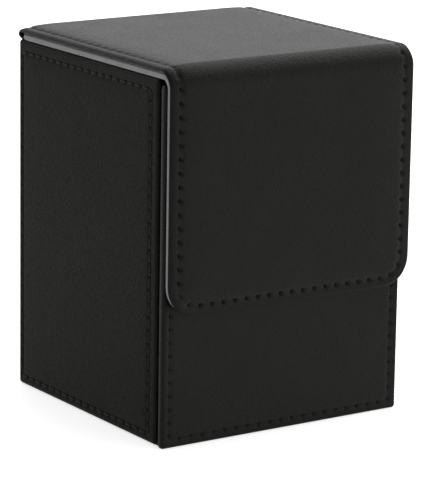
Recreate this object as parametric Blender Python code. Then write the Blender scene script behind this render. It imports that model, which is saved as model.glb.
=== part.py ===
"""Flip-top deck box for trading cards: boards covered in black leather, lined in grey microfibre.

The box is two things glued together. An inner tray (five boards, stitched side covers, lining) holds the
cards. A wrap goes round it from the front panel under the bottom, up the back and over the top as the lid,
and ends in a flap that hangs down over the front and is held shut by two hidden magnets.

Metres, +Z up, front towards -Y. The origin is the centre of the closed box's bounding box, at its base.
Bodies: the box (tray and wrap), the lid, and the flap. The lid turns about lid_axis at the top of the
back, and the flap turns about flap_axis at the top of the front.
"""

import math

import bmesh
import bpy
from mathutils import Matrix, Vector

MM = 0.001

# Driving dimensions of the closed box
WIDTH = 80.0 * MM
HEIGHT = 106.3 * MM
DEPTH = 81.9 * MM           # from the flap's outer face to the back
FLAP_THICK = 3.4 * MM       # lid and flap are the same stack of layers
FLAP_BOTTOM = 37.8 * MM     # height of the flap's lower edge
FLAP_CORNER = 8.5 * MM      # radius of the flap's two lower corners
FOLD_RADIUS = 5.5 * MM      # outer radius of the bend between lid and flap
HINGE_RADIUS = 2.0 * MM     # outer radius of the bend between back and lid

# Layers
SHEET = 1.2 * MM            # leather of the wrap, lid and flap
SKIN = 0.9 * MM             # leather of the side covers
LINING = 0.9 * MM           # microfibre inside the tray
FLAP_LINING = 0.6 * MM      # microfibre under lid and flap
SIDE_BOARD = 1.6 * MM
BACK_BOARD = 1.4 * MM
INNER_FRONT_BOARD = 0.8 * MM
WRAP_BOARD = 1.0 * MM       # stiffener of the front panel, lid and flap
FRONT_SKIN = 0.7 * MM       # leather of the front panel, turned round its board
GLUE = 0.2 * MM             # room between two layers
CLEARANCE = 0.3 * MM        # room between pieces that move apart

# The shadow gap on each side, between the front panel and the side cover
FRONT_PANEL = 1.9 * MM      # thickness of the front panel
GROOVE = 2.3 * MM
WEB = 0.6 * MM              # leather at the bottom of the gap

# Edges
SIDE_EDGE = 0.8 * MM
FRONT_EDGE = 0.6 * MM
SHEET_EDGE = 0.5 * MM
SHARP = math.radians(40)    # a sharper edge is rounded, or shaded as an edge
EDGE_STEPS = 3
CORNER_STEPS = 8
FOLD_STEPS = 10

# Stitching: a thread lies in a channel pressed into the leather
THREAD_RADIUS = 0.26 * MM
THREAD_DEPTH = 0.15 * MM    # of the thread's middle below the leather's face
CHANNEL_RADIUS = 0.55 * MM
FLAP_INSET = 2.7 * MM
SIDE_INSET = 3.4 * MM
SIDE_BACK_INSET = 2.6 * MM
FRONT_INSET = 2.4 * MM
THREAD_CORNER = 1.2 * MM

# Magnets and the steel keepers they hold to
MAGNET_RADIUS = 5.0 * MM
MAGNET_THICK = 0.8 * MM
MAGNET_X = 24.0 * MM
MAGNET_ABOVE_EDGE = 9.0 * MM
MAGNET_SIDES = 32

# Places worked out from the dimensions
HALF = WIDTH / 2
FLAP_FACE = -DEPTH / 2
FLAP_BACK = FLAP_FACE + FLAP_THICK
FRONT = FLAP_BACK + CLEARANCE
BACK = DEPTH / 2
LID_UNDER = HEIGHT - FLAP_THICK
RIM = LID_UNDER - CLEARANCE
FOLD_Y = FLAP_FACE + FOLD_RADIUS
FOLD_Z = HEIGHT - FOLD_RADIUS
HINGE_Y = BACK - HINGE_RADIUS
HINGE_Z = HEIGHT - HINGE_RADIUS
HINGE_FOOT = RIM - GLUE
SIDE_DEPTH = SKIN + GLUE + SIDE_BOARD
TRAY_X = HALF - SIDE_DEPTH - GLUE
SIDE_FRONT = FRONT + FRONT_PANEL + GROOVE
SIDE_BACK = BACK - SHEET - GLUE
FLOOR = SHEET + GLUE
INNER_FRONT = FRONT + FRONT_PANEL + GLUE
INNER_FRONT_DEPTH = INNER_FRONT_BOARD + LINING + GLUE / 2
INNER_BACK_DEPTH = BACK_BOARD + LINING + GLUE
LINING_BOTTOM = FLOOR + SIDE_BOARD + GLUE
MAGNET_Z = FLAP_BOTTOM + MAGNET_ABOVE_EDGE
WRAP_BOARD_Y = FRONT + FRONT_SKIN + GLUE / 2
STACK_LINING = FLAP_THICK - SHEET - GLUE
STACK_BOARD = FLAP_LINING + GLUE / 2


def clear_scene():
    for old in list(bpy.data.objects):
        bpy.data.objects.remove(old, do_unlink=True)


def new_collection(name):
    collection = bpy.data.collections.new(name)
    bpy.context.scene.collection.children.link(collection)
    return collection


def material(name, color, roughness, metallic=0.0):
    made = bpy.data.materials.new(name)
    made.use_nodes = True
    shader = made.node_tree.nodes["Principled BSDF"]
    shader.inputs["Base Color"].default_value = (*color, 1.0)
    shader.inputs["Roughness"].default_value = roughness
    shader.inputs["Metallic"].default_value = metallic
    return made


LEATHER = ("leather", (0.022, 0.022, 0.021), 0.5)
MICROFIBRE = ("lining", (0.19, 0.19, 0.2), 0.95)
BOARD = ("board", (0.36, 0.33, 0.28), 0.9)
THREAD = ("thread", (0.012, 0.012, 0.012), 0.6)
STEEL = ("steel", (0.55, 0.55, 0.56), 0.3, 1.0)


# ---- shapes ----------------------------------------------------------------------------------------------

def block(low, high):
    """A bmesh box between two corners."""
    bm = bmesh.new()
    low, high = Vector(low), Vector(high)
    size = high - low
    place = Matrix.Translation((low + high) / 2) @ Matrix.Diagonal((*size, 1.0))
    bmesh.ops.create_cube(bm, size=1.0, matrix=place)
    return bm


def round_corners(bm, axis, radius, keep):
    """Rounds the edges that run along axis (0, 1 or 2) and pass keep(middle of the edge)."""
    def runs_along(edge):
        along = (edge.verts[1].co - edge.verts[0].co).normalized()
        return abs(along[axis]) > 0.99 and keep((edge.verts[0].co + edge.verts[1].co) / 2)
    edges = [edge for edge in bm.edges if runs_along(edge)]
    bmesh.ops.bevel(bm, geom=edges, offset=radius, segments=CORNER_STEPS, profile=0.5,
                    affect="EDGES", clamp_overlap=True)


def round_rim(bm, normal, radius):
    """Rounds the edges round the face that looks along normal."""
    bm.normal_update()
    facing = {face for face in bm.faces if face.normal.dot(Vector(normal)) > 0.99}
    edges = [edge for edge in bm.edges if len(facing.intersection(edge.link_faces)) == 1
             and edge.calc_face_angle() > SHARP]
    bmesh.ops.bevel(bm, geom=edges, offset=radius, segments=EDGE_STEPS, profile=0.5,
                    affect="EDGES", clamp_overlap=True)


def finish(bm, name, look, collection, parent=None):
    """Turns a bmesh into an object with its own material, smooth but for its sharp edges."""
    bmesh.ops.recalc_face_normals(bm, faces=bm.faces)
    mesh = bpy.data.meshes.new(name)
    bm.to_mesh(mesh)
    bm.free()
    mesh.shade_smooth()
    mesh.set_sharp_from_angle(angle=SHARP)
    made = bpy.data.objects.new(name, mesh)
    if look:
        mesh.materials.append(material(f"{name}_{look[0]}", *look[1:]))
    collection.objects.link(made)
    if parent:
        made.parent = parent
        mesh.transform(Matrix.Translation(-parent.location))
    return made


def as_cutter(made):
    made.hide_render = True
    made.display_type = "WIRE"
    return made


def cut(target, cutter):
    modifier = target.modifiers.new(f"cut_{cutter.name}", "BOOLEAN")
    modifier.operation = "DIFFERENCE"
    modifier.solver = "EXACT"
    modifier.object = cutter


def tube(name, points, radius, look, cyclic, collection, parent=None):
    """A round thread through the points, as a curve."""
    curve = bpy.data.curves.new(name, "CURVE")
    curve.dimensions = "3D"
    spline = curve.splines.new("POLY")
    spline.points.add(len(points) - 1)
    spline.use_cyclic_u = cyclic
    origin = parent.location if parent else Vector()
    for point, place in zip(spline.points, points):
        point.co = (*(Vector(place) - origin), 1.0)
    curve.bevel_depth = radius
    curve.bevel_resolution = 2
    curve.use_fill_caps = True
    if look:
        curve.materials.append(material(f"{name}_{look[0]}", *look[1:]))
    made = bpy.data.objects.new(name, curve)
    collection.objects.link(made)
    made.parent = parent
    return made


def tube_cutter(name, points, radius, cyclic, collection):
    """The same tube as a mesh, to cut a channel with."""
    drawn = tube(name, points, radius, None, cyclic, collection)
    bpy.context.view_layer.update()
    evaluated = drawn.evaluated_get(bpy.context.evaluated_depsgraph_get())
    mesh = bpy.data.meshes.new_from_object(evaluated)
    bm = bmesh.new()
    bm.from_mesh(mesh)
    bmesh.ops.remove_doubles(bm, verts=bm.verts, dist=0.00001)
    bmesh.ops.recalc_face_normals(bm, faces=bm.faces)
    bm.to_mesh(mesh)
    bm.free()
    cutter = bpy.data.objects.new(f"{name}_mesh", mesh)
    cutter.matrix_world = drawn.matrix_world
    collection.objects.link(cutter)
    bpy.data.objects.remove(drawn, do_unlink=True)
    return as_cutter(cutter)


def stitch(panel, name, points, normal, cyclic, parts, cutters):
    """Presses a channel into panel along points on its face, and lays a thread in it."""
    cut(panel, tube_cutter(f"{name}_channel", points, CHANNEL_RADIUS, cyclic, cutters))
    sunk = [Vector(point) - Vector(normal) * THREAD_DEPTH for point in points]
    return tube(name, sunk, THREAD_RADIUS, THREAD, cyclic, parts, panel.parent)


def arc(centre_a, centre_b, radius, start, end, steps):
    """Points (a, b) on an arc, angles in degrees."""
    angles = [math.radians(start + (end - start) * i / steps) for i in range(steps + 1)]
    return [(centre_a + radius * math.cos(t), centre_b + radius * math.sin(t)) for t in angles]


def ring(low_a, high_a, low_b, high_b, radius):
    """A closed rectangle with rounded corners, as points (a, b)."""
    corners = ((high_a - radius, high_b - radius, 0), (low_a + radius, high_b - radius, 90),
               (low_a + radius, low_b + radius, 180), (high_a - radius, low_b + radius, 270))
    return [point for a, b, start in corners for point in arc(a, b, radius, start, start + 90, 3)]


def bent_strip(name, centre, inner, outer, turn, tail, look, collection):
    """A strip as wide as the box, bent a quarter turn about X, from above its centre to beside it.

    It bends forwards where turn is 90 degrees and backwards where it is -90, and its end can run on
    straight down by the length of tail.
    """
    bm = bmesh.new()
    place = (Matrix.Translation((0, 0, (inner + outer) / 2)) @ Matrix.Rotation(math.radians(90), 4, "X")
             @ Matrix.Diagonal((WIDTH, outer - inner, 1, 1)))
    bmesh.ops.create_grid(bm, x_segments=1, y_segments=1, size=0.5, matrix=place)
    swept = bmesh.ops.spin(bm, geom=bm.verts[:] + bm.edges[:] + bm.faces[:], cent=(0, 0, 0), axis=(1, 0, 0),
                           angle=math.radians(turn), steps=FOLD_STEPS, use_duplicate=False)
    if tail:
        end = [item for item in swept["geom_last"] if isinstance(item, bmesh.types.BMFace)]
        longer = bmesh.ops.extrude_face_region(bm, geom=end)
        moved = [item for item in longer["geom"] if isinstance(item, bmesh.types.BMVert)]
        bmesh.ops.translate(bm, verts=moved, vec=(0, 0, -tail))
        bmesh.ops.delete(bm, geom=end, context="FACES_ONLY")
    bmesh.ops.translate(bm, verts=bm.verts, vec=centre)
    return finish(bm, name, look, collection)


def disc(name, centre, radius, thick, look, collection, parent=None):
    """A flat round piece whose axis runs front to back."""
    bm = bmesh.new()
    place = Matrix.Translation(centre) @ Matrix.Rotation(math.radians(90), 4, "X")
    bmesh.ops.create_cone(bm, cap_ends=True, segments=MAGNET_SIDES, radius1=radius, radius2=radius,
                          depth=thick, matrix=place)
    return finish(bm, name, look, collection, parent)


# ---- the tray: five boards, side covers and lining ---------------------------------------------------------

def side_cover(side, name, parts, cutters):
    """Leather turned round a side board, with the web that steps in to the front panel."""
    x_out, x_in = side * HALF, side * (HALF - SIDE_DEPTH)
    low_x, high_x = sorted((x_out, x_in))
    bm = block((low_x, SIDE_FRONT, FLOOR), (high_x, SIDE_BACK, RIM))
    round_rim(bm, (side, 0, 0), SIDE_EDGE)
    cover = finish(bm, f"{name}_cover", LEATHER, parts)
    pocket_x = sorted((side * (HALF - SKIN), side * (HALF - SIDE_DEPTH - 1 * MM)))
    pocket = block((pocket_x[0], SIDE_FRONT + SKIN, FLOOR + SKIN),
                   (pocket_x[1], SIDE_BACK - SKIN, RIM - SKIN))
    cut(cover, as_cutter(finish(pocket, f"{name}_cover_pocket", None, cutters)))
    web_x = sorted((x_in, x_in + side * WEB))
    web = block((web_x[0], INNER_FRONT, FLOOR), (web_x[1], SIDE_FRONT + SKIN / 2, RIM))
    joined = cover.modifiers.new("join_web", "BOOLEAN")
    joined.operation = "UNION"
    joined.solver = "EXACT"
    joined.object = as_cutter(finish(web, f"{name}_cover_web", None, cutters))
    points = [(x_out, y, z) for y, z in ring(SIDE_FRONT + SIDE_INSET, SIDE_BACK - SIDE_BACK_INSET,
                                             FLOOR + SIDE_BACK_INSET, RIM - SIDE_INSET, THREAD_CORNER)]
    stitch(cover, f"{name}_thread", points, (side, 0, 0), True, parts, cutters)


def side_wall(side, name, parts, cutters):
    side_cover(side, name, parts, cutters)
    edge = SKIN + GLUE
    board_x = sorted((side * (HALF - SKIN - GLUE), side * (HALF - SIDE_DEPTH)))
    board = block((board_x[0], SIDE_FRONT + edge, FLOOR + edge), (board_x[1], SIDE_BACK - edge, RIM - edge))
    finish(board, f"{name}_board", BOARD, parts)
    lining_x = sorted((side * TRAY_X, side * (TRAY_X - LINING)))
    lining = block((lining_x[0], INNER_FRONT + INNER_FRONT_DEPTH + GLUE, LINING_BOTTOM),
                   (lining_x[1], SIDE_BACK - INNER_BACK_DEPTH - GLUE, RIM - SHEET_EDGE))
    finish(lining, f"{name}_lining", MICROFIBRE, parts)


def wrapped_wall(name, low_y, high_y, inward, board_thick, parts, cutters):
    """A front or back board of the tray, with lining over its inner face and turned round its edges."""
    shell = block((-TRAY_X, low_y, FLOOR), (TRAY_X, high_y, RIM))
    lining = finish(shell, f"{name}_lining", MICROFIBRE, parts)
    outer = low_y if inward > 0 else high_y
    edge = LINING + GLUE / 2
    pocket_y = sorted((outer - inward * 1 * MM, outer + inward * (high_y - low_y - LINING)))
    pocket = block((-TRAY_X + LINING, pocket_y[0], FLOOR + LINING),
                   (TRAY_X - LINING, pocket_y[1], RIM - LINING))
    cut(lining, as_cutter(finish(pocket, f"{name}_lining_pocket", None, cutters)))
    board_y = sorted((outer, outer + inward * board_thick))
    board = block((-TRAY_X + edge, board_y[0], FLOOR + edge), (TRAY_X - edge, board_y[1], RIM - edge))
    finish(board, f"{name}_board", BOARD, parts)


def tray(parts, cutters):
    for side, name in ((-1, "left"), (1, "right")):
        side_wall(side, name, parts, cutters)
    wrapped_wall("front", INNER_FRONT, INNER_FRONT + INNER_FRONT_DEPTH, 1, INNER_FRONT_BOARD, parts, cutters)
    wrapped_wall("back", SIDE_BACK - INNER_BACK_DEPTH, SIDE_BACK, -1, BACK_BOARD, parts, cutters)
    low_y = INNER_FRONT + INNER_FRONT_DEPTH + GLUE
    high_y = SIDE_BACK - INNER_BACK_DEPTH - GLUE
    board = block((-TRAY_X, low_y, FLOOR), (TRAY_X, high_y, FLOOR + SIDE_BOARD))
    finish(board, "bottom_board", BOARD, parts)
    room = TRAY_X - LINING - GLUE
    lining = block((-room, low_y, LINING_BOTTOM), (room, high_y, LINING_BOTTOM + LINING))
    finish(lining, "bottom_lining", MICROFIBRE, parts)


# ---- the wrap: front panel, bottom and back ----------------------------------------------------------------

def front_panel(parts, cutters):
    bm = block((-HALF, FRONT, 0), (HALF, FRONT + FRONT_PANEL, RIM))
    round_corners(bm, 0, FOLD_RADIUS - FLAP_THICK - CLEARANCE,
                  lambda middle: middle.y < FRONT + MM and middle.z > MM)
    round_rim(bm, (0, -1, 0), FRONT_EDGE)
    cover = finish(bm, "front_cover", LEATHER, parts)
    pocket = block((-HALF + SKIN, FRONT + FRONT_SKIN, SKIN),
                   (HALF - SKIN, FRONT + FRONT_PANEL + MM, RIM - FRONT_PANEL))
    cut(cover, as_cutter(finish(pocket, "front_cover_pocket", None, cutters)))
    points = [(x, FRONT, z) for x, z in ring(-HALF + FRONT_INSET, HALF - FRONT_INSET, FRONT_INSET,
                                             RIM - FRONT_PANEL - FRONT_INSET, THREAD_CORNER)]
    stitch(cover, "front_thread", points, (0, -1, 0), True, parts, cutters)
    edge = SKIN + GLUE
    stiff = block((-HALF + edge, WRAP_BOARD_Y, edge),
                  (HALF - edge, WRAP_BOARD_Y + WRAP_BOARD, RIM - FRONT_PANEL - GLUE))
    panel_board = finish(stiff, "front_panel_board", BOARD, parts)
    for side, name in ((-1, "left"), (1, "right")):
        middle = (side * MAGNET_X, WRAP_BOARD_Y + WRAP_BOARD / 2, MAGNET_Z)
        hole = disc(f"keeper_pocket_{name}", middle, MAGNET_RADIUS + GLUE, 3 * WRAP_BOARD, None, cutters)
        cut(panel_board, as_cutter(hole))
        disc(f"keeper_{name}", middle, MAGNET_RADIUS, MAGNET_THICK, STEEL, parts)


def bottom_and_back(parts, cutters):
    bottom = block((-HALF, FRONT + FRONT_PANEL + GLUE, 0), (HALF, SIDE_BACK, SHEET))
    finish(bottom, "bottom_cover", LEATHER, parts)
    bm = block((-HALF, BACK - SHEET, 0), (HALF, BACK, HINGE_FOOT - GLUE))
    round_rim(bm, (0, 1, 0), SHEET_EDGE)
    cover = finish(bm, "back_cover", LEATHER, parts)
    points = [(x, BACK, z) for x, z in ring(-HALF + FLAP_INSET, HALF - FLAP_INSET, FRONT_INSET,
                                            HINGE_FOOT - SIDE_INSET, THREAD_CORNER)]
    stitch(cover, "back_thread", points, (0, 1, 0), True, parts, cutters)


# ---- the lid, the flap and the two folds ---------------------------------------------------------------------

def lid(parts, cutters, axis):
    low_y, high_y = FOLD_Y + GLUE, HINGE_Y - GLUE
    bm = block((-HALF, low_y, HEIGHT - SHEET), (HALF, high_y, HEIGHT))
    for side in (-1, 1):
        edges = [edge for edge in bm.edges
                 if all(abs(v.co.x - side * HALF) < 1e-6 and v.co.z > HEIGHT - 1e-6 for v in edge.verts)]
        bmesh.ops.bevel(bm, geom=edges, offset=SHEET_EDGE, segments=EDGE_STEPS, profile=0.5, affect="EDGES")
    cover = finish(bm, "lid_cover", LEATHER, parts, axis)
    for side, name in ((-1, "left"), (1, "right")):
        x = side * (HALF - FLAP_INSET)
        points = [(x, low_y + GLUE, HEIGHT), (x, high_y - GLUE, HEIGHT)]
        stitch(cover, f"lid_thread_{name}", points, (0, 0, 1), False, parts, cutters)
    shell = block((-HALF, low_y, LID_UNDER), (HALF, high_y, LID_UNDER + STACK_LINING))
    lining = finish(shell, "lid_lining", MICROFIBRE, parts, axis)
    wall = FLAP_LINING
    pocket = block((-HALF + wall, low_y + wall, LID_UNDER + wall), (HALF - wall, high_y - wall, HEIGHT))
    cut(lining, as_cutter(finish(pocket, "lid_lining_pocket", None, cutters)))
    edge = FLAP_LINING + GLUE
    board = block((-HALF + edge, low_y + edge, LID_UNDER + STACK_BOARD),
                  (HALF - edge, high_y - edge, LID_UNDER + STACK_BOARD + WRAP_BOARD))
    finish(board, "lid_board", BOARD, parts, axis)


def flap_shape(inset, low_y, high_y, top):
    """The flap's outline, shrunk by inset all round, between two depths."""
    bm = block((-HALF + inset, low_y, FLAP_BOTTOM + inset), (HALF - inset, high_y, top - inset))
    round_corners(bm, 1, FLAP_CORNER - inset, lambda middle: middle.z < HEIGHT / 2)
    return bm


def flap(parts, cutters, axis):
    top = FOLD_Z - GLUE
    bm = flap_shape(0, FLAP_FACE, FLAP_FACE + SHEET, top)
    round_rim(bm, (0, -1, 0), SHEET_EDGE)
    cover = finish(bm, "flap_cover", LEATHER, parts, axis)
    x, z = HALF - FLAP_INSET, FLAP_BOTTOM + FLAP_INSET
    turn = FLAP_CORNER - FLAP_INSET
    path = [(-x, top - GLUE)]
    path += arc(-x + turn, z + turn, turn, 180, 270, CORNER_STEPS)
    path += arc(x - turn, z + turn, turn, 270, 360, CORNER_STEPS)
    path += [(x, top - GLUE)]
    points = [(a, FLAP_FACE, b) for a, b in path]
    stitch(cover, "flap_thread", points, (0, -1, 0), False, parts, cutters)
    lining = finish(flap_shape(0, FLAP_BACK - STACK_LINING, FLAP_BACK, top), "flap_lining", MICROFIBRE,
                    parts, axis)
    pocket = flap_shape(FLAP_LINING, FLAP_FACE, FLAP_BACK - FLAP_LINING, top)
    cut(lining, as_cutter(finish(pocket, "flap_lining_pocket", None, cutters)))
    board_y = FLAP_BACK - STACK_BOARD - WRAP_BOARD
    stiff = flap_shape(FLAP_LINING + GLUE, board_y, board_y + WRAP_BOARD, top)
    flap_board = finish(stiff, "flap_board", BOARD, parts, axis)
    for side, name in ((-1, "left"), (1, "right")):
        middle = (side * MAGNET_X, board_y + WRAP_BOARD / 2, MAGNET_Z)
        hole = disc(f"magnet_pocket_{name}", middle, MAGNET_RADIUS + GLUE, 3 * WRAP_BOARD, None, cutters)
        cut(flap_board, as_cutter(hole))
        disc(f"magnet_{name}", middle, MAGNET_RADIUS, MAGNET_THICK, STEEL, parts, axis)


def folds(parts):
    """The leather and lining between lid and flap, and the leather hinge between back and lid."""
    fold = (0, FOLD_Y, FOLD_Z)
    bent_strip("fold_cover", fold, FOLD_RADIUS - SHEET, FOLD_RADIUS, 90, 0, LEATHER, parts)
    bent_strip("fold_lining", fold, FOLD_RADIUS - FLAP_THICK, FOLD_RADIUS - SHEET - GLUE, 90, 0,
               MICROFIBRE, parts)
    bent_strip("hinge_cover", (0, HINGE_Y, HINGE_Z), HINGE_RADIUS - SHEET, HINGE_RADIUS, -90,
               HINGE_Z - HINGE_FOOT, LEATHER, parts)


def turning_axis(start, end):
    """The axis of the quarter turn that opens a fold flat, as an empty.

    start and end are where the middle of the leather leaves the fold, (y, z), at rest and laid flat.
    """
    step_y, step_z = end[0] - start[0], end[1] - start[1]
    return (0, start[0] + (step_y + step_z) / 2, start[1] - (step_y - step_z) / 2)


def axis_empty(name, place, parts):
    made = bpy.data.objects.new(name, None)
    made.location = place
    parts.objects.link(made)
    return made


def axes(parts):
    """Both folds keep their leather's length, so each axis lies close to the leather at its fold."""
    middle = FOLD_RADIUS - SHEET / 2
    flat = FOLD_Y - middle * math.pi / 2
    flap_place = turning_axis((FOLD_Y - middle, FOLD_Z), (flat, FOLD_Z + middle))
    middle = HINGE_RADIUS - SHEET / 2
    length = middle * math.pi / 2 + HINGE_Z - HINGE_FOOT
    lid_place = turning_axis((HINGE_Y, HINGE_Z + middle), (HINGE_Y + middle, HINGE_FOOT + length))
    return axis_empty("lid_axis", lid_place, parts), axis_empty("flap_axis", flap_place, parts)


def main():
    clear_scene()
    parts = new_collection("deck_box")
    cutters = new_collection("cutters")
    lid_axis, flap_axis = axes(parts)
    tray(parts, cutters)
    front_panel(parts, cutters)
    bottom_and_back(parts, cutters)
    lid(parts, cutters, lid_axis)
    flap(parts, cutters, flap_axis)
    folds(parts)


main()
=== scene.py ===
import math

import bmesh
import bpy
import numpy as np
from mathutils import Matrix, Vector, noise
from mathutils.kdtree import KDTree


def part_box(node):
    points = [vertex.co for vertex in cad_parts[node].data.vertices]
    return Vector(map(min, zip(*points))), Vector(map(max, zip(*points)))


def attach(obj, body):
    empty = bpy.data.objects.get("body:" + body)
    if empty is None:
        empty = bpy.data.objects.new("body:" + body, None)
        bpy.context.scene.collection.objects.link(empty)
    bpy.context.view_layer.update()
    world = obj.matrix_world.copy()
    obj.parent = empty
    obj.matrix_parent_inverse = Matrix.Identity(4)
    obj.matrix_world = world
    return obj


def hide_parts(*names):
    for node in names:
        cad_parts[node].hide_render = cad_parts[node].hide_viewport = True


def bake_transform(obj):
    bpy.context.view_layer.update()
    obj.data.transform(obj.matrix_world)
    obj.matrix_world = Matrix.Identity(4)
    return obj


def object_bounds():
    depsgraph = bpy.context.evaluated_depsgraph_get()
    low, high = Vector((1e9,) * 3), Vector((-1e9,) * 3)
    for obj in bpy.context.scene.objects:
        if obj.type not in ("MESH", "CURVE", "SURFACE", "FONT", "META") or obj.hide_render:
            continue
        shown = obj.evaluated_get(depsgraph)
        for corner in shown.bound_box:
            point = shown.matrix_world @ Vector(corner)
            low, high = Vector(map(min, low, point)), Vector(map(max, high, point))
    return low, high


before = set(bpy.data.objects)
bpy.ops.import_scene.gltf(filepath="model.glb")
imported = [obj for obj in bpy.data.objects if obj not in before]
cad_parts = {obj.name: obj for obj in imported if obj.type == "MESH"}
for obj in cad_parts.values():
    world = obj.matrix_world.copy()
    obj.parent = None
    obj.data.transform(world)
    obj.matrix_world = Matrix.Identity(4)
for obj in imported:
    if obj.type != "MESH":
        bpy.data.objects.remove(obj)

# The looks of a flip-top deck box: black grained leather, grey microfibre and black stitching, round the
# boards and magnets of the CAD model. Metres, in the model's frame: front towards -Y, up +Z.

CAD_LOW, CAD_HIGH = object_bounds()
MM = 0.001

# ---- places in the frame -------------------------------------------------------------------------

LID, FLAP, FOLD, HINGE = (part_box(f"{name}_cover") for name in ("lid", "flap", "fold", "hinge"))
HALF = FLAP[1].x
HEIGHT = LID[1].z
SHEET = LID[1].z - LID[0].z                       # thickness of the wrap's leather
FLAP_FACE, FLAP_BOTTOM = FLAP[0].y, FLAP[0].z
FOLD_Y, FOLD_Z = FOLD[1].y, FOLD[0].z
FOLD_RADIUS = HEIGHT - FOLD_Z
BACK, HINGE_Y, HINGE_FOOT = HINGE[1].y, HINGE[0].y, HINGE[0].z
HINGE_RADIUS = BACK - HINGE_Y
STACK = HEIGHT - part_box("lid_lining")[0].z        # thickness of lid and flap with their lining
LINING_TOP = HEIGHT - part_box("lid_lining")[1].z   # how deep under the leather's face the lining starts

FOLD_BIAS = 0.3                                   # how much tighter the fold is where it starts and ends
FOLD_POINTS = 201


def fold_turn(share):
    """How far the leather has turned at a share of its way round the fold."""
    return math.pi / 2 * (share + FOLD_BIAS * np.sin(2 * math.pi * share) / (2 * math.pi))


def fold_path():
    """Shares of the way round the fold, how far forward and down each lies, and the fold's length."""
    share = np.linspace(0, 1, FOLD_POINTS)
    turn = fold_turn((share[1:] + share[:-1]) / 2)
    forward = np.concatenate([[0], np.cumsum(np.cos(turn))])
    down = np.concatenate([[0], np.cumsum(np.sin(turn))])
    scale = FOLD_RADIUS / forward[-1]
    return share, forward * scale, down * scale, scale * len(turn)


FOLD_SHARES, FOLD_FORWARD, FOLD_DOWN, FOLD_LENGTH = fold_path()

# Distances along the wrap's leather, from the foot of the back over the lid to the end of the flap
WRAP_HINGE = HEIGHT - HINGE_RADIUS
WRAP_LID = WRAP_HINGE + HINGE_RADIUS * math.pi / 2
WRAP_FOLD = WRAP_LID + HINGE_Y - FOLD_Y
WRAP_FLAP = WRAP_FOLD + FOLD_LENGTH
WRAP_END = WRAP_FLAP + FOLD_Z - FLAP_BOTTOM
WRAP_JOIN = (WRAP_LID + WRAP_FOLD) / 2            # where its two meshes meet, midway across the lid

# ---- making --------------------------------------------------------------------------------------

FLAP_CORNER = 8.5 * MM
PANEL_CORNER = 0.9 * MM
POINT_STEP = 0.4 * MM                             # between points along an edge
ARC_POINTS = 12
EDGE_ANGLES = (0, 15, 30, 45, 60, 75, 90)
MERGE_DISTANCE = 0.003 * MM
SHARP_ANGLE = 50
# Where the loops of a face lie: millimetres inside its edge, closest where the seams are, and then shares
# of the way to its middle line. Its underside has such shares too, from the middle outwards.
FACE_INSETS = (0.9, 1.2, 1.5, 1.8, 2.05, 2.3, 2.5, 2.7, 2.9, 3.15, 3.4, 3.65, 3.95, 4.3, 4.8, 5.5, 6.5)
CORE_SHARES = (0.1, 0.22, 0.36, 0.52, 0.7, 0.87, 1.0)
UNDER_SHARES = (1.0, 0.4)
UNDER_MARGIN = 0.4 * MM                           # from a solid panel's rounded back edge to its first loop
FACE_CLEARANCE = 0.1 * MM                         # from the rounded edge to the face's first loop
FACE_REACH = 0.8                                  # of the way to the middle line, where the insets end
RIM_SHADE_WIDTH = 1.2 * MM                             # over which the painted shade of a rim fades on its face
SWELL_SIZE = 24 * MM                              # between one swell of glued leather and the next
SWELL_LOOPS = 4                                   # the loops over which it sets in from the edge

STITCH_PITCH = 3.8 * MM
# From the edge to the row of stitches
FLAP_INSET = 2.7 * MM
SIDE_INSET = 3.4 * MM
SIDE_FOOT_INSET = 2.6 * MM
SIDE_BACK_INSET = 2.0 * MM
FRONT_INSET = 2.4 * MM
CROSS_ROW = 7.3 * MM                              # from the top of the back down to its cross row
FRONT_HOLE, SIDE_HOLE = 0.5 * MM, 0.35 * MM       # shallower than elsewhere, as boards lie close below
THREAD_CORNER = 1.2 * MM
THREAD_RADIUS = 0.3 * MM
THREAD_SIDES = 10
THREAD_STATIONS = 23
THREAD_TURNS = 1.8
PLY_GROOVE = 0.13                                 # between its two plies, as a share of its radius
THREAD_SUNK = 1.15                                # how deep its middle lies, as a share of its radius
THREAD_DIVE = 0.75 * MM                           # how much deeper it goes at each end of a stitch
THREAD_GAP = 0.05 * MM                            # from the end of a stitch to the middle of its hole
THREAD_LEAN = 0.06 * MM                           # how far its ends lie to either side of the row
LEAN_CHANGE, LEAN_STEP = 0.4, 2.4                 # and how that changes from one stitch to the next

CROWN_WIDTH = 10 * MM
WRAP_SHAPE = {"crown": (1.1 * MM, 0.45 * MM), "proud": 0.55 * MM, "rounding": (0.8 * MM, 0.45 * MM),
              "uneven": 0.03 * MM}
WRAP_WIDER = 0.5 * MM                             # how far the wrap's leather stands out at each side
BACK_NARROWER = 1.3 * MM                          # and how far it draws in again down the back
SIDE_CROWN = (0.3 * MM, 0.3 * MM)
LINING_PLUMP = 0.15 * MM                          # how far the soft lining fills its clearance
LINING_INSET = 0.05 * MM                          # how far the lid's lining stays back from its edges
LINING_REAR = 0.2 * MM                            # and from the hinge
LINING_THINNER = 0.5 * MM                         # taken off its thickness, on the leather's side


def line(start, end, count):
    share = np.linspace(0, 1, count + 1)[:, None]
    return np.array(start) * (1 - share) + np.array(end) * share


def arc(centre_a, centre_b, radius, start, end):
    turn = np.radians(np.linspace(start, end, ARC_POINTS + 1))
    return np.stack([centre_a + radius * np.cos(turn), centre_b + radius * np.sin(turn)], 1)


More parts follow.
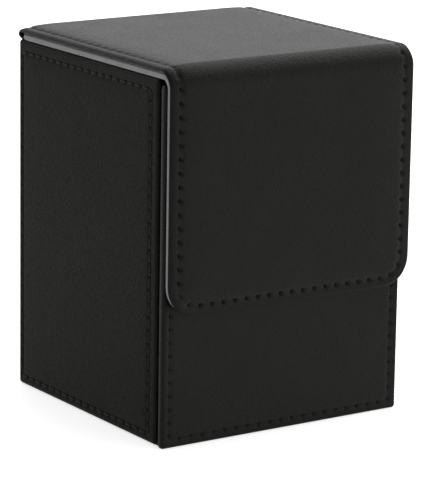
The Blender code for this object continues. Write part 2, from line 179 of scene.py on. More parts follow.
class Outline:
    """A panel's edge as points (a, b) at any inset: a rectangle with round corners, which may be open
    at its top. Every inset gives the same number of points, so that two can be joined point by point.
    """

    SMALLEST_CORNER = 0.02 * MM
    CORNER_SHARE = 0.4                            # of its inset, which a corner's radius keeps at least

    def __init__(self, low, high, corner, top_corner=None, is_open=False):
        self.low, self.high, self.is_open = np.array(low), np.array(high), is_open
        self.corner, self.top_corner = corner, corner if top_corner is None else top_corner
        size = self.high - self.low
        self.across = max(8, round(size[0] / POINT_STEP))
        self.along = max(8, round(size[1] / POINT_STEP))
        self.reach = min(size) / 2
        self.core = (self.low[1] + self.reach, self.high[1] - (0 if is_open else self.reach))

    def at(self, inset):
        radius, top = (max(corner - inset, self.CORNER_SHARE * inset, self.SMALLEST_CORNER)
                       for corner in (self.corner, self.top_corner))
        low, high = self.low + inset, self.high - inset
        floor = line((low[0] + radius, low[1]), (high[0] - radius, low[1]), self.across)[1:-1]
        lower_left = arc(low[0] + radius, low[1] + radius, radius, 180, 270)
        lower_right = arc(high[0] - radius, low[1] + radius, radius, 270, 360)
        if self.is_open:
            end = self.high[1]
            left = line((low[0], end), (low[0], low[1] + radius), self.along)[:-1]
            right = line((high[0], low[1] + radius), (high[0], end), self.along)[1:]
            return np.concatenate([left, lower_left, floor, lower_right, right])
        right = line((high[0], low[1] + radius), (high[0], high[1] - top), self.along)[1:-1]
        across = line((high[0] - top, high[1]), (low[0] + top, high[1]), self.across)[1:-1]
        left = line((low[0], high[1] - top), (low[0], low[1] + radius), self.along)[1:-1]
        upper_right = arc(high[0] - top, high[1] - top, top, 0, 90)
        upper_left = arc(low[0] + top, high[1] - top, top, 90, 180)
        return np.concatenate([lower_left, floor, lower_right, right, upper_right, across, upper_left,
                               left])

    def distance(self, points):
        """How far inside the edge each point lies."""
        gaps = [points[:, 0] - self.low[0], self.high[0] - points[:, 0], points[:, 1] - self.low[1]]
        return np.min(gaps if self.is_open else gaps + [self.high[1] - points[:, 1]], 0)

    def toward_core(self, points, share):
        """Points moved towards the panel's middle line, all the way at share 1."""
        middle = (self.low[0] + self.high[0]) / 2
        core = np.stack([np.full(len(points), middle), np.clip(points[:, 1], *self.core)], 1)
        return points * (1 - share) + core * share


class Seam:
    """A row of stitches along points (a, b), and the channel and needle holes that it pulls into leather.

    Where it is eased, its holes get shallower from one b to another.
    """

    CHANNEL, CHANNEL_WIDTH = 0.15 * MM, 0.8 * MM
    HOLE, HOLE_WIDTH = 0.75 * MM, 0.62 * MM
    EASED_SHARE = 0.25
    STEP = 0.05 * MM
    LOOK_AHEAD = 0.1 * MM

    def __init__(self, points, closed=False, hole=HOLE, eased=None):
        points = np.concatenate([points, points[:1]]) if closed else np.array(points)
        steps = np.linalg.norm(np.diff(points, axis=0), axis=1)
        along = np.concatenate([[0], np.cumsum(steps)])
        self.hole, self.eased = hole, eased
        self.count = round(along[-1] / STITCH_PITCH)
        self.pitch = along[-1] / self.count
        self.along = np.linspace(0, along[-1], round(along[-1] / self.STEP) + 1)
        self.points = np.stack([np.interp(self.along, along, points[:, k]) for k in (0, 1)], 1)
        self.tree = KDTree(len(self.points))
        for i, point in enumerate(self.points):
            self.tree.insert((*point, 0), i)
        self.tree.balance()

    def at(self, along):
        return np.stack([np.interp(along, self.along, self.points[:, k]) for k in (0, 1)], -1)

    def direction(self, along):
        step = self.at(along + self.LOOK_AHEAD) - self.at(along - self.LOOK_AHEAD)
        return step / np.linalg.norm(step, axis=-1, keepdims=True)

    def depth(self, points):
        """How far the leather is pulled in at each point."""
        found = [self.tree.find((*point, 0)) for point in points]
        index = np.array([hit[1] for hit in found])
        gap = np.array([hit[2] for hit in found])
        pulled = self.CHANNEL * np.exp(-(gap / self.CHANNEL_WIDTH) ** 2)
        to_hole = (0.5 - np.abs((self.along[index] / self.pitch) % 1 - 0.5)) * self.pitch
        holes = self.hole * np.exp(-(gap ** 2 + to_hole ** 2) / self.HOLE_WIDTH ** 2)
        if self.eased:
            holes *= np.interp(points[:, 1], self.eased, (1, self.EASED_SHARE))
        return pulled + holes


def rectangle_seam(low, high, corner=THREAD_CORNER, hole=Seam.HOLE):
    corners = ((high[0] - corner, high[1] - corner, 0), (low[0] + corner, high[1] - corner, 90),
               (low[0] + corner, low[1] + corner, 180), (high[0] - corner, low[1] + corner, 270))
    points = np.concatenate([arc(a, b, corner, turn, turn + 90) for a, b, turn in corners])
    return Seam(points, closed=True, hole=hole)


def margin_seam(low, high, end, corner, eased):
    """A row down one margin, round two corners and up the other margin to end."""
    return Seam(np.concatenate([
        [(low[0], end)], arc(low[0] + corner, low[1] + corner, corner, 180, 270),
        arc(high[0] - corner, low[1] + corner, corner, 270, 360), [(high[0], end)]]), eased=eased)


def on_wrap(a, b, depth):
    """Points of the leather that runs from the foot of the back over the lid and down the flap.

    It bends tightest where the fold starts and ends, so each point of the fold is found along its path.
    Down the back it narrows, to stand between the side covers.
    """
    share = np.clip((b - WRAP_FOLD) / (WRAP_FLAP - WRAP_FOLD), 0, 1)
    hinge = np.clip((b - WRAP_HINGE) / HINGE_RADIUS, 0, math.pi / 2)
    turn = hinge + fold_turn(share)
    out_y, out_z = np.cos(turn), np.sin(turn)
    behind = np.clip((WRAP_HINGE - b) / (WRAP_HINGE - HINGE_FOOT), 0, 1)
    across = a * (1 - BACK_NARROWER / HALF * behind ** 2 * (3 - 2 * behind))
    on_lid = np.clip(b - WRAP_LID, 0, WRAP_FOLD - WRAP_LID)
    on_front = np.clip(b - WRAP_FLAP, 0, None)
    forward, down = (np.interp(share, FOLD_SHARES, path) for path in (FOLD_FORWARD, FOLD_DOWN))
    before = b < WRAP_LID
    face_y = np.where(before, HINGE_Y + HINGE_RADIUS * out_y, HINGE_Y - on_lid - forward)
    face_z = np.where(before, np.minimum(b, WRAP_HINGE) + HINGE_RADIUS * out_z, HEIGHT - down - on_front)
    return np.stack([across, face_y - out_y * depth, face_z - out_z * depth], -1)


def on_flap(a, b, depth):
    """The same leather, with b counted from the flap's end."""
    return on_wrap(a, WRAP_END - b, depth)


def from_inside(place, thick):
    """The same places seen from the inner side of a stack of that thickness."""
    return lambda a, b, depth: place(a, b, thick - depth)


def flat_place(axis, sign, face, first, second):
    """Places on a flat panel, whose face lies at face along axis and looks along sign."""
    def place(a, b, depth):
        made = np.zeros((len(a), 3))
        made[:, axis] = face - sign * depth
        made[:, first], made[:, second] = a, b
        return made
    return place


def falloff(distance):
    """1 at a panel's edge and 0 from CROWN_WIDTH inwards, without a corner between."""
    return np.clip(1 - distance / CROWN_WIDTH, 0, 1) ** 2


def unevenness(points, amount, seed):
    """The slow swell of glued leather, between 0 and about twice amount."""
    scale = 1 / SWELL_SIZE
    return amount * np.array([1 + noise.noise((a * scale, b * scale, seed)) for a, b in points])


def edge_section(thick, skin, rounding, back):
    """A panel's edge in section, as (inset, depth): where its underside starts, the back edge, the rim."""
    turn = np.radians(EDGE_ANGLES)
    rim = [(rounding[0] * (1 - math.cos(t)), rounding[1] * (1 - math.sin(t))) for t in turn]
    if skin:
        half = skin / 2
        under = [(half * (1 + math.cos(t)), thick - back * (1 - math.sin(t))) for t in turn]
        under += [(half * (1 - math.cos(t)), thick - back * (1 - math.sin(t))) for t in reversed(turn[:-1])]
        return (skin, skin), under, rim
    under = [(back * (1 - math.cos(t)), thick - back * (1 - math.sin(t))) for t in reversed(turn)]
    return (back + UNDER_MARGIN, thick), under, rim


def panel(name, outline, place, thick, skin=None, rounding=(0.6 * MM, 0.6 * MM), back=0.12 * MM,
          seams=(), crown=(0.0, 0.0), proud=0.0, uneven=0.0, seed=0.0, turned=None):
    """A closed panel over an outline, where place(a, b, depth) gives points in the frame.

    Its face stands proud of depth 0 and falls off towards its edge by crown, given for low and for high
    a. Its edge is rounded over a width and a depth. With a skin it is a shell of that thickness, hollow
    at its back. Its UV map is its flat pattern in metres, and where turned is given its grain runs from
    there against b, to carry on from another panel.
    """
    start, under, rim = edge_section(thick, skin, rounding, back)
    inner = outline.at(start[0])
    loops = [(outline.toward_core(inner, share), start[1]) for share in UNDER_SHARES] + [(inner, start[1])]
    loops += [(outline.at(inset), depth) for inset, depth in under + rim]
    rim_starts, rim_ends = len(loops) - len(rim), len(loops) - 1
    # A mask for painted shade on the rim: 1 on the rounding, fading onto the face, 0 further in
    rim_shade = [0.0] * rim_starts + [1.0] * len(rim)
    for inset in FACE_INSETS:
        if rounding[0] + FACE_CLEARANCE < inset * MM < FACE_REACH * outline.reach:
            loops.append((outline.at(inset * MM), 0.0))
            rim_shade.append(max(0.0, 1 - (inset * MM - rounding[0]) / RIM_SHADE_WIDTH))
    last = loops[-1][0]
    loops += [(outline.toward_core(last, share), 0.0) for share in CORE_SHARES]
    rim_shade += [0.0] * len(CORE_SHARES)
    solid = []
    flats = []
    for k, (points, depth) in enumerate(loops):
        sunk = np.full(len(points), depth)
        flat = points if turned is None else np.array([0, turned]) + points * (1, -1)
        if k >= rim_starts:
            fall = np.interp(points[:, 0], (outline.low[0], outline.high[0]), crown)
            sunk += fall * falloff(outline.distance(points)) - proud
        if k > rim_ends:
            for seam in seams:
                sunk += seam.depth(points)
            if uneven:
                sunk += min(1.0, (k - rim_ends) / SWELL_LOOPS) * unevenness(flat, uneven, seed)
        solid.append(np.column_stack([points, sunk]))
        flats.append(flat)
    return loft(name, solid, flats, rim_shade, place, not outline.is_open)


def loft(name, loops, flats, rim_shade, place, closed):
    """Loops of (a, b, depth) joined point by point into one closed mesh."""
    rows, count = len(loops), len(loops[0])
    flats = np.concatenate(flats)
    placed = place(*np.concatenate(loops).T)
    bm = bmesh.new()
    flat = bm.loops.layers.uv.new("flat")
    # the mask of rims that the materials darken with painted shade
    rim_shade_mask = bm.verts.layers.float.new("rim_shade")
    verts = [bm.verts.new(point) for point in placed]
    for i, vert in enumerate(verts):
        vert[rim_shade_mask] = rim_shade[i // count]

    def add_face(corners):
        face = bm.faces.new([verts[i] for i in corners])
        for loop, i in zip(face.loops, corners):
            loop[flat].uv = flats[i]

    for row in range(rows - 1):
        for column in range(count if closed else count - 1):
            after = (column + 1) % count
            add_face([row * count + column, row * count + after,
                      (row + 1) * count + after, (row + 1) * count + column])
    if not closed:
        add_face([row * count for row in range(rows)]
                 + [row * count + count - 1 for row in reversed(range(rows))])
    bmesh.ops.remove_doubles(bm, verts=bm.verts, dist=MERGE_DISTANCE)
    return finish(bm, name)


def finish(bm, name):
    """A smooth-shaded object from a bmesh."""
    bmesh.ops.recalc_face_normals(bm, faces=bm.faces)
    mesh = bpy.data.meshes.new(name)
    bm.to_mesh(mesh)
    bm.free()
    mesh.shade_smooth()
    mesh.set_sharp_from_angle(angle=math.radians(SHARP_ANGLE))
    made = bpy.data.objects.new(name, mesh)
    bpy.context.scene.collection.objects.link(made)
    return made


def stitches(name, seams, place):
    """All stitches of some seams as one mesh: short two-ply threads that dive in at both ends."""
    share = np.linspace(-1, 1, THREAD_STATIONS)
    turn = np.linspace(0, 2 * math.pi, THREAD_SIDES, endpoint=False)
    plies = 1 + PLY_GROOVE * np.cos(2 * (turn[None, :] - math.pi * THREAD_TURNS * share[:, None]))
    aside = THREAD_RADIUS * plies * np.cos(turn)
    up = THREAD_RADIUS * (plies * np.sin(turn) - THREAD_SUNK) - THREAD_DIVE * np.abs(share[:, None]) ** 5
    bm = bmesh.new()
    flat = bm.loops.layers.uv.new("flat")
    for seam in seams:
        for i in range(seam.count):
            along = (i + 0.5) * seam.pitch + share * (seam.pitch / 2 - THREAD_GAP)
            at, ahead = seam.at(along), seam.direction(along)
            lean = THREAD_LEAN * share * (1 + LEAN_CHANGE * math.sin(LEAN_STEP * i))
            a = (at[:, :1] - ahead[:, 1:] * (aside + lean[:, None])).ravel()
            b = (at[:, 1:] + ahead[:, :1] * (aside + lean[:, None])).ravel()
            verts = [bm.verts.new(point) for point in place(a, b, -up.ravel())]
            rings = [verts[k * THREAD_SIDES:(k + 1) * THREAD_SIDES] for k in range(THREAD_STATIONS)]
            faces = [bm.faces.new(rings[0]), bm.faces.new(rings[-1])]
            for one, other in zip(rings, rings[1:]):
                for c in range(THREAD_SIDES):
                    n = (c + 1) % THREAD_SIDES
                    faces.append(bm.faces.new((one[c], one[n], other[n], other[c])))
            where = {vert: (a[k], b[k]) for k, vert in enumerate(verts)}
            for face in faces:
                for loop in face.loops:
                    loop[flat].uv = where[loop.vert]
    return finish(bm, name)


# ---- materials -----------------------------------------------------------------------------------

class Nodes:
    """A material with a Principled shader, and short ways to add nodes to it."""

    def __init__(self, name, roughness, **inputs):
        self.material = bpy.data.materials.new(name)
        self.material.use_nodes = True
        self.tree = self.material.node_tree
        self.shader = self.tree.nodes["Principled BSDF"]
        self.shader.inputs["Roughness"].default_value = roughness
        for socket, value in inputs.items():
            self.shader.inputs[socket.replace("_", " ")].default_value = value

    def add(self, kind, inputs=None, **settings):
        node = self.tree.nodes.new(f"ShaderNode{kind}")
        for key, value in settings.items():
            setattr(node, key, value)
        for socket, value in (inputs or {}).items():
            if isinstance(value, bpy.types.NodeSocket):
                self.tree.links.new(value, node.inputs[socket])
            else:
                node.inputs[socket].default_value = value
        return node

    def link(self, output, socket):
        self.tree.links.new(output, self.shader.inputs[socket])

    def place(self, flat):
        """Coordinates in millimetres: the flat pattern, or the object's own space."""
        coordinates = self.add("TexCoord").outputs["UV" if flat else "Object"]
        return self.stretch(coordinates, (1 / MM, 1 / MM, 1 / MM))

    def stretch(self, place, scale, rotation=(0, 0, 0)):
        made = self.add("Mapping", {"Vector": place, "Rotation": rotation, "Scale": scale})
        return made.outputs["Vector"]

    def noise(self, place, size, detail=2.0, roughness=0.5):
        """Noise with features of about size millimetres, from 0 to 1."""
        made = self.add("TexNoise", {"Vector": place, "Scale": 1 / size, "Detail": detail,
                                     "Roughness": roughness})
        return made.outputs["Fac"]

    def remap(self, value, low, high, from_low=0.3, from_high=0.7):
        made = self.add("MapRange", {"Value": value, "From Min": from_low, "From Max": from_high,
                                     "To Min": low, "To Max": high})
        return made.outputs["Result"]

    def math(self, operation, one, other):
        made = self.add("Math", operation=operation)
        for socket, value in zip(made.inputs, (one, other)):
            if isinstance(value, bpy.types.NodeSocket):
                self.tree.links.new(value, socket)
            else:
                socket.default_value = value
        return made.outputs["Value"]

    def mix(self, share, one, other):
        made = self.add("Mix", data_type="RGBA")
        for socket, value in ((made.inputs[0], share), (made.inputs[6], one), (made.inputs[7], other)):
            if isinstance(value, bpy.types.NodeSocket):
                self.tree.links.new(value, socket)
            else:
                socket.default_value = value
        return made.outputs[2]

    def bump(self, height, strength, distance, below=None):
        inputs = {"Height": height, "Strength": strength, "Distance": distance}
        if below:
            inputs["Normal"] = below
        return self.add("Bump", inputs).outputs["Normal"]


def leather(name, specular, roughness, rim_shade_and_matt):
    """Black coated leather: a fine pebbled grain, painted shade in the creases between the pebbles, and
    matt rims darkened with painted shade.
    """
    light, dark = (0.0068, 0.0068, 0.0052, 1), (0.0050, 0.0050, 0.0038, 1)
    # The next line holds painted shade: one colour for the creases between the pebbles, one for the rims
    crease_shade, rim_shade_colour = (0.0025, 0.0025, 0.0020, 1), (0.0022, 0.0022, 0.0018, 1)
    m = Nodes(name, roughness, Specular_IOR_Level=specular)
    place = m.place(flat=True)
    warp = m.add("TexNoise", {"Vector": place, "Scale": 0.9}).outputs["Color"]
    warped = m.add("VectorMath", {0: place, 1: warp}, operation="ADD").outputs["Vector"]
    pebbles = m.add("TexVoronoi", {"Vector": warped, "Scale": 1.75, "Randomness": 0.85, "Smoothness": 0.35},
                    feature="SMOOTH_F1").outputs["Distance"]
    pebble = m.remap(pebbles, 1.0, 0.0, 0.05, 0.75)
    fine = m.noise(place, 0.16, 3.0)
    slow = m.noise(place, 14, 3.0)
    rim_shade_mask = m.add("Attribute", attribute_name="rim_shade").outputs["Fac"]
    tone = m.mix(m.remap(slow, 0.0, 1.0), dark, light)
    # Painted shade in the creases between the pebbles
    crease_shaded = m.mix(m.remap(pebbles, 0.0, 0.75, 0.45, 0.8), tone, crease_shade)
    # Painted shade on the rims, as much as the last argument asks; the same mask adds roughness below
    m.link(m.mix(m.math("MULTIPLY", rim_shade_mask, rim_shade_and_matt), crease_shaded, rim_shade_colour), "Base Color")
    slowly = m.remap(slow, roughness - 0.015, roughness + 0.015)
    rough = m.math("ADD", slowly, m.remap(pebble, 0.06, -0.03, 0.2, 0.8))
    m.link(m.math("ADD", rough, m.math("MULTIPLY", rim_shade_mask, 0.15 * rim_shade_and_matt)), "Roughness")
    grain = m.bump(pebble, 0.7, 0.08 * MM)
    m.link(m.bump(fine, 0.35, 0.02 * MM, grain), "Normal")
    return m.material


def microfibre():
    """Grey brushed microfibre, mottled by the lie of its nap, and darkened at its cut edges with painted
    shade.
    """
    dark, light = (0.165, 0.165, 0.17, 1), (0.21, 0.21, 0.217, 1)
    # The last colour is painted shade for the rims
    in_nap, rim_shade_colour = (0.12, 0.12, 0.125, 1), (0.035, 0.035, 0.037, 1)
    m = Nodes("grey_microfibre", 0.95, Sheen_Weight=0.25, Sheen_Roughness=0.5, Specular_IOR_Level=0.2)
    place = m.place(flat=True)
    nap = m.noise(place, 6, 4.0, 0.6)
    fibres = m.noise(m.stretch(place, (1, 3, 1)), 0.35, 4.0, 0.65)
    tone = m.mix(m.remap(nap, 0.0, 1.0), dark, light)
    fibre_tone = m.mix(m.remap(fibres, 0.0, 0.5), tone, in_nap)
    rim_shade_mask = m.add("Attribute", attribute_name="rim_shade").outputs["Fac"]
    # Painted shade darkens the rims, by the rim mask
    m.link(m.mix(m.math("MULTIPLY", rim_shade_mask, 0.35), fibre_tone, rim_shade_colour), "Base Color")
    m.link(m.remap(nap, 0.88, 1.0), "Roughness")
    soft = m.bump(nap, 0.3, 0.12 * MM)
    m.link(m.bump(fibres, 0.7, 0.09 * MM, soft), "Normal")
    return m.material


def thread():
    """Black polyester thread, with its filaments across the twist."""
    dark, light = (0.004, 0.004, 0.004, 1), (0.009, 0.009, 0.0085, 1)
    m = Nodes("black_thread", 0.6, Specular_IOR_Level=0.1)
    place = m.place(flat=True)
    filaments = m.noise(m.stretch(place, (1, 6, 1), rotation=(0, 0, 0.7)), 0.5, 3.0, 0.6)
    m.link(m.mix(m.remap(filaments, 0.0, 1.0), dark, light), "Base Color")
    m.link(m.remap(filaments, 0.62, 0.46), "Roughness")
    m.link(m.bump(filaments, 0.8, 0.03 * MM), "Normal")
    return m.material


def greyboard():
    """Recycled board: speckled pulp with a faint grain."""
    dark, light, speck = (0.29, 0.265, 0.22, 1), (0.38, 0.35, 0.295, 1), (0.16, 0.145, 0.12, 1)
    m = Nodes("greyboard", 0.9)
    place = m.place(flat=False)
    specks = m.noise(place, 0.5, 5.0, 0.7)
    fibre = m.noise(m.stretch(place, (1, 1, 4)), 2.5, 4.0)
    tone = m.mix(m.remap(fibre, 0.0, 1.0), dark, light)
    m.link(m.mix(m.remap(specks, 0.0, 0.6, 0.55, 0.75), tone, speck), "Base Color")
    m.link(m.remap(fibre, 0.84, 0.96), "Roughness")
    m.link(m.bump(specks, 0.5, 0.05 * MM), "Normal")
    return m.material


def nickel():
    """Nickel-plated steel, lightly scuffed."""
    dark, light = (0.5, 0.49, 0.47, 1), (0.63, 0.62, 0.6, 1)
    m = Nodes("nickel", 0.3, Metallic=1.0)
    place = m.place(flat=False)
    scuffs = m.noise(m.stretch(place, (1, 1, 9)), 1.5, 5.0, 0.7)
    m.link(m.mix(m.remap(scuffs, 0.0, 1.0), dark, light), "Base Color")
    m.link(m.remap(scuffs, 0.22, 0.42), "Roughness")
    m.link(m.bump(scuffs, 0.2, 0.01 * MM), "Normal")
    return m.material


# The last argument of leather is how much painted shade darkens the rims; the side covers have none
LOOKS = {"leather": leather("wrap_leather", 0.105, 0.36, 0.8), "lining": microfibre(), "thread": thread(),
         "board": greyboard(), "steel": nickel()}
SIDE_LEATHER = leather("side_leather", 0.042, 0.5, 0.0)


def dress(piece, slot, *nodes, look=None):
    """Gives a piece the material of its slot, or the look given, and hides the CAD nodes it stands for."""
    piece.data.materials.clear()
    piece.data.materials.append(look or LOOKS[slot])
    if nodes:
        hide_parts(*nodes)
    return piece


# ---- the tray ------------------------------------------------------------------------------------

LINING_SKIN = 0.8 * MM                            # of the linings that cover a board in front and behind
LINING_CORNER = 0.5 * MM
GROOVE = 2.3 * MM                                 # between the front panel and the edges of the side covers
SIDE_SKIN = 0.7 * MM
SIDE_REAR = BACK + 0.2 * MM                       # the side covers run on past the leather of the back
SIDE_FOOT = 0.1 * MM                              # and down past the leather of the bottom
GUSSET = 0.6 * MM
GUSSET_CORNER = 0.1 * MM
BOTTOM_NARROWER = 0.9 * MM


def tray_lining(name, piece, axis, sign, rounding, **shape):
    """The lining of one wall or of the floor, which looks along sign on axis."""
    low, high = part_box(f"{name}_lining")
    first, second = (k for k in range(3) if k != axis)
    outline = Outline((low[first], low[second]), (high[first], high[second]), LINING_CORNER)
    place = flat_place(axis, sign, (high if sign > 0 else low)[axis], first, second)
    made = panel(piece, outline, place, high[axis] - low[axis], rounding=(rounding, rounding), **shape)
    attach(dress(made, "lining", f"{name}_lining"), "box")


def side_wall(side, name):
    """A stitched side cover, the gusset that steps in to the front panel, and the lining inside."""
    low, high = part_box(f"{name}_cover")
    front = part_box("front_cover")[1].y + GROOVE
    thick = (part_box(f"{name}_board")[1 if side < 0 else 0].x - side * HALF) * -side
    place = flat_place(0, side, side * HALF, 1, 2)
    seam = rectangle_seam((front + SIDE_INSET, SIDE_FOOT_INSET),
                          (SIDE_REAR - SIDE_BACK_INSET, high.z - SIDE_INSET), hole=SIDE_HOLE)
    outline = Outline((front, SIDE_FOOT), (SIDE_REAR, high.z), PANEL_CORNER)
    cover = panel(f"{name}_side", outline, place, thick, skin=SIDE_SKIN, rounding=(1.0 * MM, 0.7 * MM),
                  seams=[seam], crown=SIDE_CROWN, uneven=0.04 * MM, seed=3.0 + side)
    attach(dress(cover, "leather", f"{name}_cover", look=SIDE_LEATHER), "box")
    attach(dress(stitches(f"{name}_stitches", [seam], place), "thread", f"{name}_thread"), "box")
    inner = side * HALF - side * thick
    strip = Outline((low.y, low.z), (front, high.z), GUSSET_CORNER)
    gusset = panel(f"{name}_gusset", strip, flat_place(0, side, inner + side * GUSSET, 1, 2), GUSSET,
                   rounding=(0.15 * MM, 0.15 * MM))
    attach(dress(gusset, "leather", f"{name}_cover", look=SIDE_LEATHER), "box")
    tray_lining(name, f"{name}_wall_lining", 0, -side, 0.45 * MM, uneven=0.06 * MM, seed=side)


def tray():
    """The sides with their covers, and the linings of front, back and floor."""
    for side, name in ((-1, "left"), (1, "right")):
        side_wall(side, name)
    for name, sign in (("front", 1), ("back", -1)):
        tray_lining(name, f"{name}_wall_lining", 1, sign, 0.5 * MM, skin=LINING_SKIN, uneven=0.06 * MM,
                    seed=7.0 + sign)
    tray_lining("bottom", "floor_lining", 2, 1, 0.4 * MM, uneven=0.08 * MM, seed=11.0)


# ---- the wrap ------------------------------------------------------------------------------------

FRONT_TOP_GAP = 1.2 * MM                          # room for the lining inside the fold
LINING_DEPTH = STACK + LINING_PLUMP               # from the leather's outer face to the lining's inner one
LINING_REAR_CORNER = 1.0 * MM
HINGE_LINING = 0.6 * MM                           # thickness of the strip inside the hinge
HINGE_LINING_CORNER = 0.3 * MM
HINGE_LINING_LOW, HINGE_LINING_HIGH = HINGE_FOOT + 0.3 * MM, WRAP_LID - 0.1 * MM


def across_hinge(piece):
    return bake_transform(piece)


def across_fold(piece):
    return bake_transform(piece)


def front_panel():
    """The stitched panel that the flap closes on."""
    low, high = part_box("front_cover")
    top = high.z - FRONT_TOP_GAP
    place = flat_place(1, -1, low.y, 0, 2)
    seam = rectangle_seam((low.x + FRONT_INSET, FRONT_INSET), (high.x - FRONT_INSET, top - FRONT_INSET),
                          hole=FRONT_HOLE)
    edge = HALF + WRAP_WIDER / 2
    cover = panel("front_panel", Outline((-edge, low.z), (edge, top), PANEL_CORNER), place, high.y - low.y,
                  rounding=(0.7 * MM, 0.8 * MM), back=0.3 * MM, seams=[seam], uneven=0.03 * MM, seed=20.0)
    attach(dress(cover, "leather", "front_cover"), "box")
    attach(dress(stitches("front_stitches", [seam], place), "thread", "front_thread"), "box")


def bottom():
    low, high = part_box("bottom_cover")
    outline = Outline((low.x + BOTTOM_NARROWER, low.y), (high.x - BOTTOM_NARROWER, BACK), PANEL_CORNER)
    cover = panel("bottom_panel", outline, flat_place(2, -1, low.z, 0, 1), SHEET,
                  rounding=(0.4 * MM, 0.4 * MM), uneven=0.03 * MM, seed=24.0)
    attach(dress(cover, "leather", "bottom_cover"), "box")


def back_half():
    """The back, the hinge and the rear half of the lid, in one sheet."""
    margin = HALF - FLAP_INSET
    seams = [margin_seam((-margin, FRONT_INSET), (margin, FRONT_INSET), WRAP_JOIN, THREAD_CORNER,
                         (WRAP_HINGE, WRAP_LID))]
    cross = WRAP_HINGE + HINGE_RADIUS - CROSS_ROW
    inset = margin - STITCH_PITCH / 2
    seams.append(Seam(np.array([(-inset, cross), (inset, cross)]), hole=0.0))
    edge = HALF + WRAP_WIDER
    outline = Outline((-edge, 0.0), (edge, WRAP_JOIN), PANEL_CORNER, is_open=True)
    sheet = panel("back_wrap", outline, on_wrap, SHEET, seams=seams, **WRAP_SHAPE)
    across_hinge(dress(sheet, "leather", "back_cover", "hinge_cover"))
    across_hinge(dress(stitches("back_stitches", seams, on_wrap), "thread", "back_thread"))


def front_half():
    """The front half of the lid, the fold and the flap, in one sheet."""
    margin, end = HALF - FLAP_INSET, WRAP_END - WRAP_JOIN
    seam = margin_seam((-margin, FLAP_INSET), (margin, FLAP_INSET), end, FLAP_CORNER - FLAP_INSET,
                       (WRAP_END - WRAP_FLAP, WRAP_END - WRAP_FOLD))
    edge = HALF + WRAP_WIDER
    outline = Outline((-edge, 0.0), (edge, end), FLAP_CORNER, is_open=True)
    sheet = panel("flap_wrap", outline, on_flap, SHEET, seams=[seam], turned=WRAP_END, **WRAP_SHAPE)
    across_fold(dress(sheet, "leather", "lid_cover", "fold_cover", "flap_cover"))
    across_fold(dress(stitches("flap_stitches", [seam], on_flap), "thread", "flap_thread",
                      "lid_thread_left", "lid_thread_right"))


def wrap_linings():
    """The lining under lid, fold and flap, and the strip that lines the hinge."""
    inset = LINING_INSET
    outline = Outline((-HALF + inset, inset), (HALF - inset, WRAP_END - WRAP_LID - LINING_REAR),
                      FLAP_CORNER - inset, top_corner=LINING_REAR_CORNER)
    lining = panel("lid_and_flap_lining", outline, from_inside(on_flap, LINING_DEPTH),
                   LINING_DEPTH - LINING_TOP - LINING_THINNER, skin=0.6 * MM,
                   rounding=(0.8 * MM, 0.95 * MM), back=0.9 * MM, uneven=0.03 * MM, seed=50.0)
    across_fold(dress(lining, "lining", "lid_lining", "fold_lining", "flap_lining"))
    strip = Outline((-HALF + SHEET, HINGE_LINING_LOW), (HALF - SHEET, HINGE_LINING_HIGH),
                    HINGE_LINING_CORNER)
    inner = SHEET + HINGE_LINING
    hinge = panel("hinge_lining", strip, from_inside(on_wrap, inner), inner - SHEET,
                  rounding=(0.2 * MM, 0.25 * MM), back=0.1 * MM)
    across_hinge(dress(hinge, "lining"))


def carried_nodes():
    """The CAD's boards, keepers and magnets are shown as they are."""
    for name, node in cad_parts.items():
        if name.endswith("board"):
            dress(node, "board")
        elif name.startswith(("keeper", "magnet")):
            dress(node, "steel")


# ---- stage ---------------------------------------------------------------------------------------

VIEW_AZIMUTH, VIEW_ELEVATION, VIEW_ROLL = -34.063, 13.338, 0.888
VIEW_DISTANCE = 864.5 * MM
VIEW_RIGHT, VIEW_UP, VIEW_BEHIND = 2.611 * MM, 44.681 * MM, 1.701 * MM   # of its aim, from the origin
LENS = 219.8
# How strong the sky is from left to right and from low to high; the two are multiplied
SKY_ACROSS = {"From Min": -0.7, "From Max": 0.35, "To Min": 0.3, "To Max": 1.35}
SKY_UPWARDS = {"From Min": 0.15, "From Max": 0.5, "To Min": 1.0, "To Max": 0.75}
FLOOR_HALF = 4.0
FLOOR_GAP = 0.05 * MM
FLOOR_GLOW = 0.58


def camera():
    """A long lens from the left of the front, a little above."""
    turn, lift, roll = (math.radians(angle) for angle in (VIEW_AZIMUTH, VIEW_ELEVATION, VIEW_ROLL))
    back = Vector((math.sin(turn) * math.cos(lift), -math.cos(turn) * math.cos(lift), math.sin(lift)))
    level = Vector((0, 0, 1)).cross(back).normalized()
    raised = back.cross(level)
    right = level * math.cos(roll) + raised * math.sin(roll)
    up = raised * math.cos(roll) - level * math.sin(roll)
    data = bpy.data.cameras.new("photo_view")
    data.lens = LENS
    made = bpy.data.objects.new("photo_view", data)
    bpy.context.scene.collection.objects.link(made)
    made.matrix_world = Matrix((right, up, back)).transposed().to_4x4()
    made.location = Vector((0, VIEW_BEHIND, 0)) + right * VIEW_RIGHT + up * VIEW_UP + back * VIEW_DISTANCE
    bpy.context.scene.camera = made


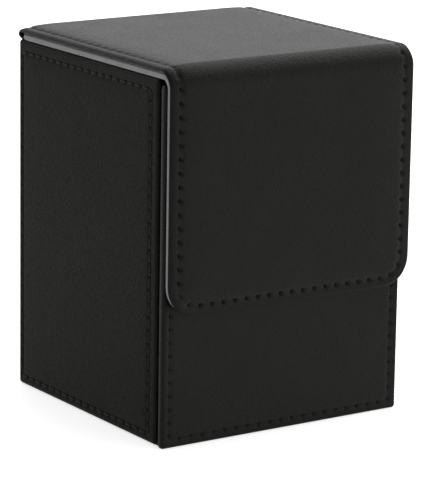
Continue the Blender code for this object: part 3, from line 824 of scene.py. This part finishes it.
def softbox(name, place, size, power):
    """A rectangular area light of some watts, aimed at the middle of the box."""
    data = bpy.data.lights.new(name, "AREA")
    data.shape = "RECTANGLE"
    data.size, data.size_y = size
    data.energy = power
    made = bpy.data.objects.new(name, data)
    bpy.context.scene.collection.objects.link(made)
    aim = Vector((0, 0, HEIGHT / 2)) - Vector(place)
    made.rotation_euler = aim.to_track_quat("-Z", "Y").to_euler()
    made.location = place


def sky():
    """White all round, dimmer to the left and high up."""
    world = bpy.data.worlds.new("white_studio")
    world.use_nodes = True
    tree = world.node_tree
    background = tree.nodes["Background"]
    background.inputs["Color"].default_value = (1, 1, 1, 1)
    direction = tree.nodes.new("ShaderNodeTexCoord").outputs["Generated"]
    split = tree.nodes.new("ShaderNodeSeparateXYZ")
    tree.links.new(direction, split.inputs[0])
    factors = []
    for axis, settings in (("X", SKY_ACROSS), ("Z", SKY_UPWARDS)):
        ramp = tree.nodes.new("ShaderNodeMapRange")
        ramp.interpolation_type = "SMOOTHSTEP"
        for socket, value in settings.items():
            ramp.inputs[socket].default_value = value
        tree.links.new(split.outputs[axis], ramp.inputs["Value"])
        factors.append(ramp.outputs["Result"])
    strength = tree.nodes.new("ShaderNodeMath")
    strength.operation = "MULTIPLY"
    tree.links.new(factors[0], strength.inputs[0])
    tree.links.new(factors[1], strength.inputs[1])
    tree.links.new(strength.outputs["Value"], background.inputs["Strength"])
    bpy.context.scene.world = world


def studio():
    """Sky, three softboxes and a white floor that glows a little, as behind a product photo."""
    sky()
    bpy.context.scene.view_settings.view_transform = "Standard"
    softbox("overhead_light", place=(0.65, 0.15, 0.95), size=(1.0, 0.8), power=4.0)
    softbox("strip_light", place=(-1.18, -0.2, 0.35), size=(0.2, 0.9), power=1.2)
    softbox("rim_light", place=(-0.54, 0.9, 0.55), size=(0.5, 0.3), power=3.0)
    bm = bmesh.new()
    bmesh.ops.create_grid(bm, x_segments=1, y_segments=1, size=FLOOR_HALF)
    floor = finish(bm, "floor")
    floor.location.z = CAD_LOW.z - FLOOR_GAP
    look = Nodes("white_sweep", 0.6, Base_Color=(0.92, 0.92, 0.92, 1), Specular_IOR_Level=0.2,
                 Emission_Color=(1, 1, 1, 1), Emission_Strength=FLOOR_GLOW)
    floor.data.materials.append(look.material)


camera()
studio()
tray()
front_panel()
bottom()
back_half()
front_half()
wrap_linings()
carried_nodes()
